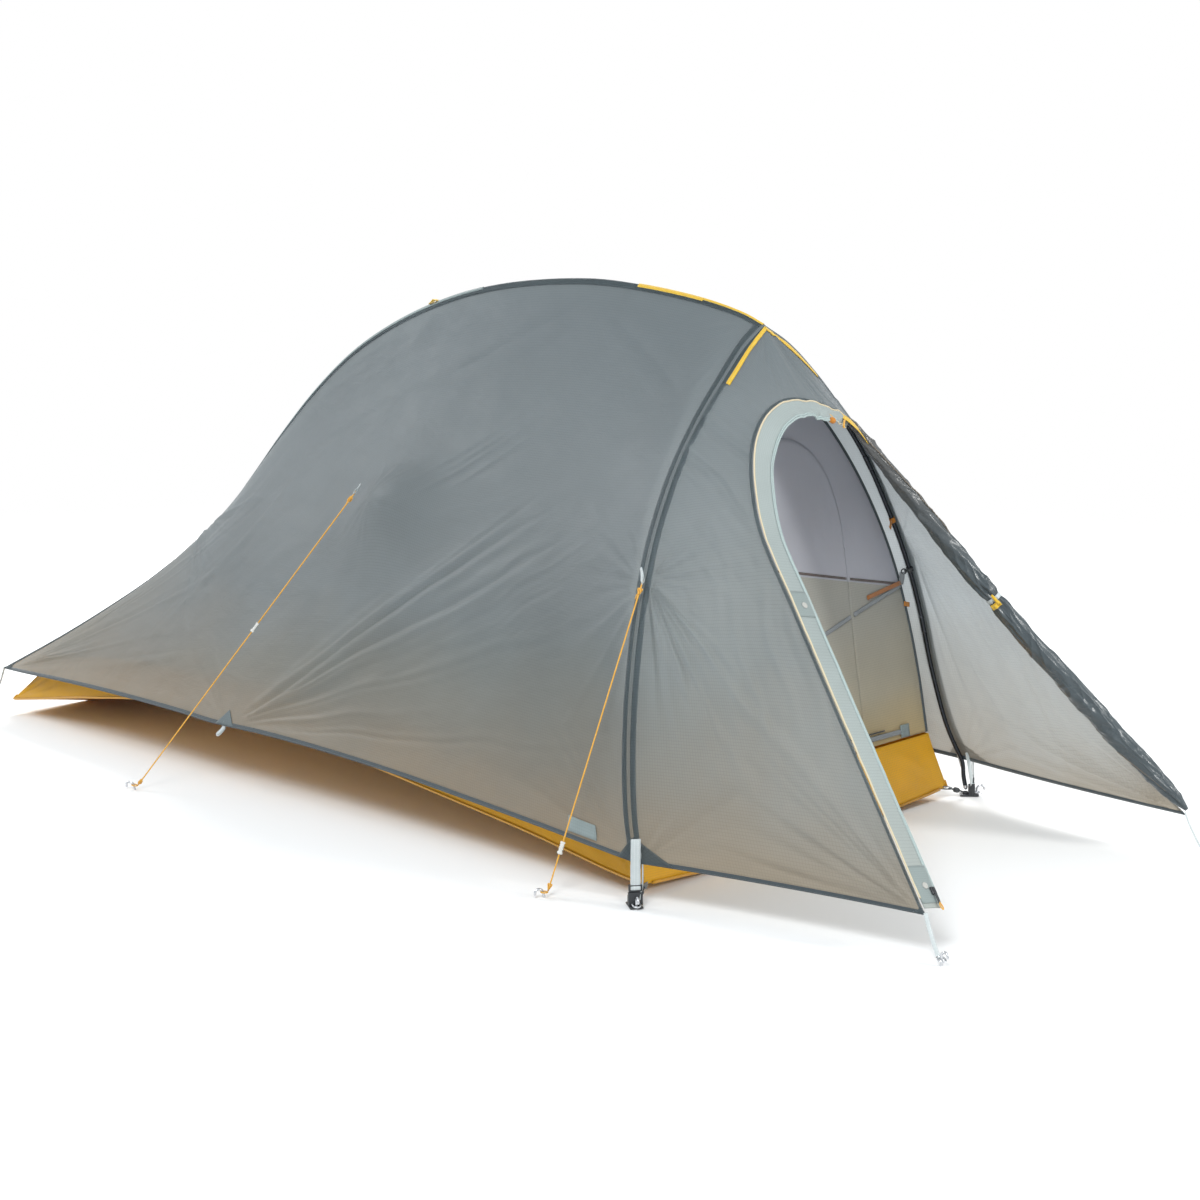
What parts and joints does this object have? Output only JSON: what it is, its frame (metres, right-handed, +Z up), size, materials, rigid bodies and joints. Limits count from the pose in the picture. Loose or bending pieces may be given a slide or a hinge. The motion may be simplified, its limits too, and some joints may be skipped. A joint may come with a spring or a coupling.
{
  "type": "dome tent",
  "caption": "Front-entry dome tent on a Y pole set: bathtub-floor inner tent under a taut translucent fly with a staked vestibule, rolled door, guylines and stakes.",
  "frame": {"origin": "on the ground, on the symmetry plane, where the front end of the floor rests, 1 m in front of the tent's middle station", "axes": "+Z up, +Y from the door towards the foot end, +X to the right of someone lying with their head at the door end and looking along +Y"},
  "size_m": [1.2442, 2.8608, 1.2033],
  "materials": {
    "pole_alloy": "dark anodised tube with a soft sheen",
    "bare_alloy": "bare drawn aluminium",
    "black_plastic": "moulded black acetal, fine satin grain",
    "elastic_cord": "braided elastic cord",
    "floor_fabric": "coated ripstop in golden orange",
    "inner_mesh": "fine see-through netting and thin breathable panels",
    "fly_fabric": "thin translucent grey-green ripstop with a faint sheen",
    "door_fabric": "rolled ripstop, darker where it lies in layers",
    "zip_tape": "pale grey-green woven tape with cream edge binding",
    "pale_webbing": "flat pale grey webbing",
    "yellow_webbing": "flat yellow webbing",
    "guy_cord": "thin braided orange cord",
    "trim_fabric": "dark grey seam binding and reinforcement cloth"
  },
  "bodies": {
    "tent": {"door_roll": "door_fabric", "door_tie": "yellow_webbing", "door_zip_tape": "zip_tape", "floor_tub": "floor_fabric", "fly_rear_panel": "fly_fabric", "fly_side_left": "fly_fabric", "fly_side_right": "fly_fabric", "foot_buckle_left": "black_plastic", "foot_buckle_right": "black_plastic", "guyline_front_left": "guy_cord", "guyline_front_right": "guy_cord", "guyline_side_left": "guy_cord", "guyline_side_right": "guy_cord", "inner_front_wall": "inner_mesh", "inner_wall_left": "inner_mesh", "inner_wall_right": "inner_mesh", "leg_hook_left": "black_plastic", "leg_hook_right": "black_plastic", "leg_left_section_1": "pole_alloy", "leg_left_section_2": "pole_alloy", "leg_left_section_3": "pole_alloy", "leg_right_section_1": "pole_alloy", "leg_right_section_2": "pole_alloy", "leg_right_section_3": "pole_alloy", "pole_hub": "black_plastic", "pole_tip_left": "bare_alloy", "pole_tip_rear": "bare_alloy", "pole_tip_right": "bare_alloy", "shock_cord": "elastic_cord", "spine_clip_1": "black_plastic", "spine_clip_2": "black_plastic", "spine_clip_3": "black_plastic", "spine_section_1": "pole_alloy", "spine_section_2": "pole_alloy", "spine_section_3": "pole_alloy", "spine_section_4": "pole_alloy", "spine_section_5": "pole_alloy", "vestibule_left": "fly_fabric", "vestibule_right": "fly_fabric"},
    "door_zip": {"door_zip_slider": "black_plastic"},
    "inner_zip": {"inner_zip_slider": "black_plastic"},
    "inner_door": {"inner_door": "inner_mesh"},
    "tensioner_side_left": {"tensioner_side_left": "bare_alloy"},
    "tensioner_side_right": {"tensioner_side_right": "bare_alloy"},
    "tensioner_front_left": {"tensioner_front_left": "bare_alloy"},
    "tensioner_front_right": {"tensioner_front_right": "bare_alloy"},
    "fly_strap_left": {"fly_strap_left": "pale_webbing"},
    "fly_strap_right": {"fly_strap_right": "pale_webbing"},
    "stake_foot_left": {"stake_foot_left": "bare_alloy"},
    "stake_foot_right": {"stake_foot_right": "bare_alloy"},
    "stake_vestibule_left": {"stake_vestibule_left": "bare_alloy"},
    "stake_vestibule_right": {"stake_vestibule_right": "bare_alloy"},
    "stake_rear_left": {"stake_rear_left": "bare_alloy"},
    "stake_rear_right": {"stake_rear_right": "bare_alloy"},
    "stake_guy_side_left": {"stake_guy_side_left": "bare_alloy"},
    "stake_guy_side_right": {"stake_guy_side_right": "bare_alloy"},
    "stake_guy_front_left": {"stake_guy_front_left": "bare_alloy"},
    "stake_guy_front_right": {"stake_guy_front_right": "bare_alloy"}
  },
  "joints": [
    {"name": "door_zip_slide", "type": "slide", "parent": "tent", "child": "door_zip", "axis": [0.2189, 0.6291, 0.7459], "range_m": [0, 0.58]},
    {"name": "inner_zip_slide", "type": "slide", "parent": "tent", "child": "inner_zip", "axis": [-1, 0, 0], "range_m": [0, 0.42]},
    {"name": "inner_door_swing", "type": "hinge", "parent": "tent", "child": "inner_door", "pos_m": [0.231, -0.0354, 0.17365], "axis": [0, 0.1532, 0.9882], "range_deg": [0, 42]},
    {"name": "tensioner_side_left_slide", "type": "slide", "parent": "tent", "child": "tensioner_side_left", "axis": [-0.3441, 0.4981, -0.7959], "range_m": [-0.22, 0.28]},
    {"name": "tensioner_side_right_slide", "type": "slide", "parent": "tent", "child": "tensioner_side_right", "axis": [0.3441, 0.4981, -0.7959], "range_m": [-0.22, 0.28]},
    {"name": "tensioner_front_left_slide", "type": "slide", "parent": "tent", "child": "tensioner_front_left", "axis": [-0.2915, 0.1296, -0.9478], "range_m": [-0.28, 0.05]},
    {"name": "tensioner_front_right_slide", "type": "slide", "parent": "tent", "child": "tensioner_front_right", "axis": [0.2915, 0.1296, -0.9478], "range_m": [-0.28, 0.05]},
    {"name": "strap_left_release", "type": "slide", "parent": "tent", "child": "fly_strap_left", "axis": [0, 0, 1], "range_m": [0, 0.022]},
    {"name": "strap_right_release", "type": "slide", "parent": "tent", "child": "fly_strap_right", "axis": [0, 0, 1], "range_m": [0, 0.022]},
    {"name": "stake_foot_left_pull", "type": "slide", "parent": "tent", "child": "stake_foot_left", "axis": [0, 0, 1], "range_m": [0, 0.12]},
    {"name": "stake_foot_right_pull", "type": "slide", "parent": "tent", "child": "stake_foot_right", "axis": [0, 0, 1], "range_m": [0, 0.12]},
    {"name": "stake_vestibule_left_pull", "type": "slide", "parent": "tent", "child": "stake_vestibule_left", "axis": [0, 0, 1], "range_m": [0, 0.12]},
    {"name": "stake_vestibule_right_pull", "type": "slide", "parent": "tent", "child": "stake_vestibule_right", "axis": [0, 0, 1], "range_m": [0, 0.12]},
    {"name": "stake_rear_left_pull", "type": "slide", "parent": "tent", "child": "stake_rear_left", "axis": [0, 0, 1], "range_m": [0, 0.12]},
    {"name": "stake_rear_right_pull", "type": "slide", "parent": "tent", "child": "stake_rear_right", "axis": [0, 0, 1], "range_m": [0, 0.12]},
    {"name": "stake_guy_side_left_pull", "type": "slide", "parent": "tent", "child": "stake_guy_side_left", "axis": [-0.1533, 0.2218, 0.963], "range_m": [0, 0.12]},
    {"name": "stake_guy_side_right_pull", "type": "slide", "parent": "tent", "child": "stake_guy_side_right", "axis": [0.1533, 0.2218, 0.963], "range_m": [0, 0.12]},
    {"name": "stake_guy_front_left_pull", "type": "slide", "parent": "tent", "child": "stake_guy_front_left", "axis": [-0.2464, 0.1095, 0.963], "range_m": [0, 0.12]},
    {"name": "stake_guy_front_right_pull", "type": "slide", "parent": "tent", "child": "stake_guy_front_right", "axis": [0.2464, 0.1095, 0.963], "range_m": [0, 0.12]}
  ]
}
